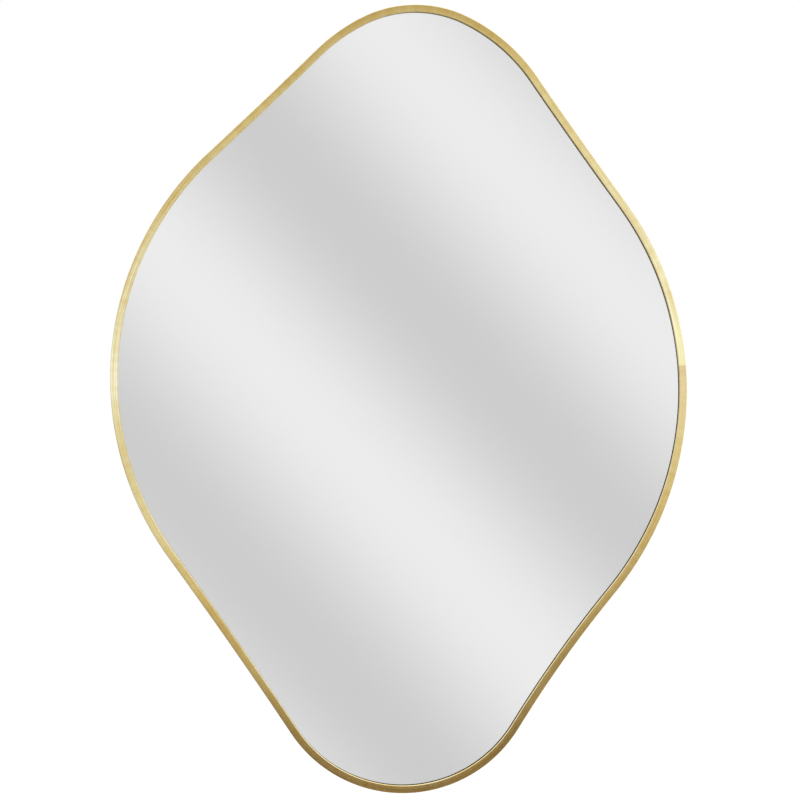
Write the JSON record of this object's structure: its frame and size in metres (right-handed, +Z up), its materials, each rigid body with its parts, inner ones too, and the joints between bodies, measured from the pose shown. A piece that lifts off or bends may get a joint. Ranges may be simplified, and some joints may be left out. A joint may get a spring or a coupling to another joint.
{
  "type": "wall mirror",
  "caption": "Wall mirror with a soft lopsided diamond outline, in a slim brushed brass-toned metal frame with swinging hanger rings behind.",
  "frame": {"origin": "middle of the outline on the wall plane, which the four bumper faces touch", "axes": "+X to the viewer's right, +Y into the wall, +Z up; the mirror looks along -Y"},
  "size_m": [0.558, 0.0205, 0.762],
  "materials": {
    "brass_toned_aluminium": "brushed and anodised in a brass tone",
    "zinc_plated_steel": "bright zinc plate",
    "black_foam_tape": "matte closed-cell foam",
    "silvered_glass": "clear float glass silvered on its back",
    "safety_film": "woven-backed film",
    "white_foam_tape": "double-sided foam tape",
    "fibreboard": "smooth pressed face",
    "bumper_rubber": "soft matte"
  },
  "bodies": {
    "mirror": {"frame": "brass_toned_aluminium", "joint_plate": "zinc_plated_steel", "joint_screws": "zinc_plated_steel", "glazing_tape": "black_foam_tape", "mirror_glass": "silvered_glass", "safety_film": "safety_film", "bonding_strips": "white_foam_tape", "backing_board": "fibreboard", "portrait_strap_left": "zinc_plated_steel", "portrait_strap_right": "zinc_plated_steel", "landscape_strap_upper": "zinc_plated_steel", "landscape_strap_lower": "zinc_plated_steel", "strap_screws": "zinc_plated_steel", "bumper_top": "bumper_rubber", "bumper_bottom": "bumper_rubber", "bumper_left": "bumper_rubber", "bumper_right": "bumper_rubber"},
    "portrait_ring_left": {"portrait_ring_left": "zinc_plated_steel"},
    "portrait_ring_right": {"portrait_ring_right": "zinc_plated_steel"},
    "landscape_ring_upper": {"landscape_ring_upper": "zinc_plated_steel"},
    "landscape_ring_lower": {"landscape_ring_lower": "zinc_plated_steel"}
  },
  "joints": [
    {"name": "portrait_left_swing", "type": "hinge", "parent": "mirror", "child": "portrait_ring_left", "pos_m": [-0.148, -0.00557, 0.178], "axis": [-1, 0, 0], "range_deg": [0, 180]},
    {"name": "portrait_right_swing", "type": "hinge", "parent": "mirror", "child": "portrait_ring_right", "pos_m": [0.152, -0.00557, 0.178], "axis": [-1, 0, 0], "range_deg": [0, 180]},
    {"name": "landscape_upper_swing", "type": "hinge", "parent": "mirror", "child": "landscape_ring_upper", "pos_m": [-0.196, -0.00557, 0.104], "axis": [0, 0, -1], "range_deg": [0, 180]},
    {"name": "landscape_lower_swing", "type": "hinge", "parent": "mirror", "child": "landscape_ring_lower", "pos_m": [-0.196, -0.00557, -0.096], "axis": [0, 0, -1], "range_deg": [0, 180]}
  ]
}
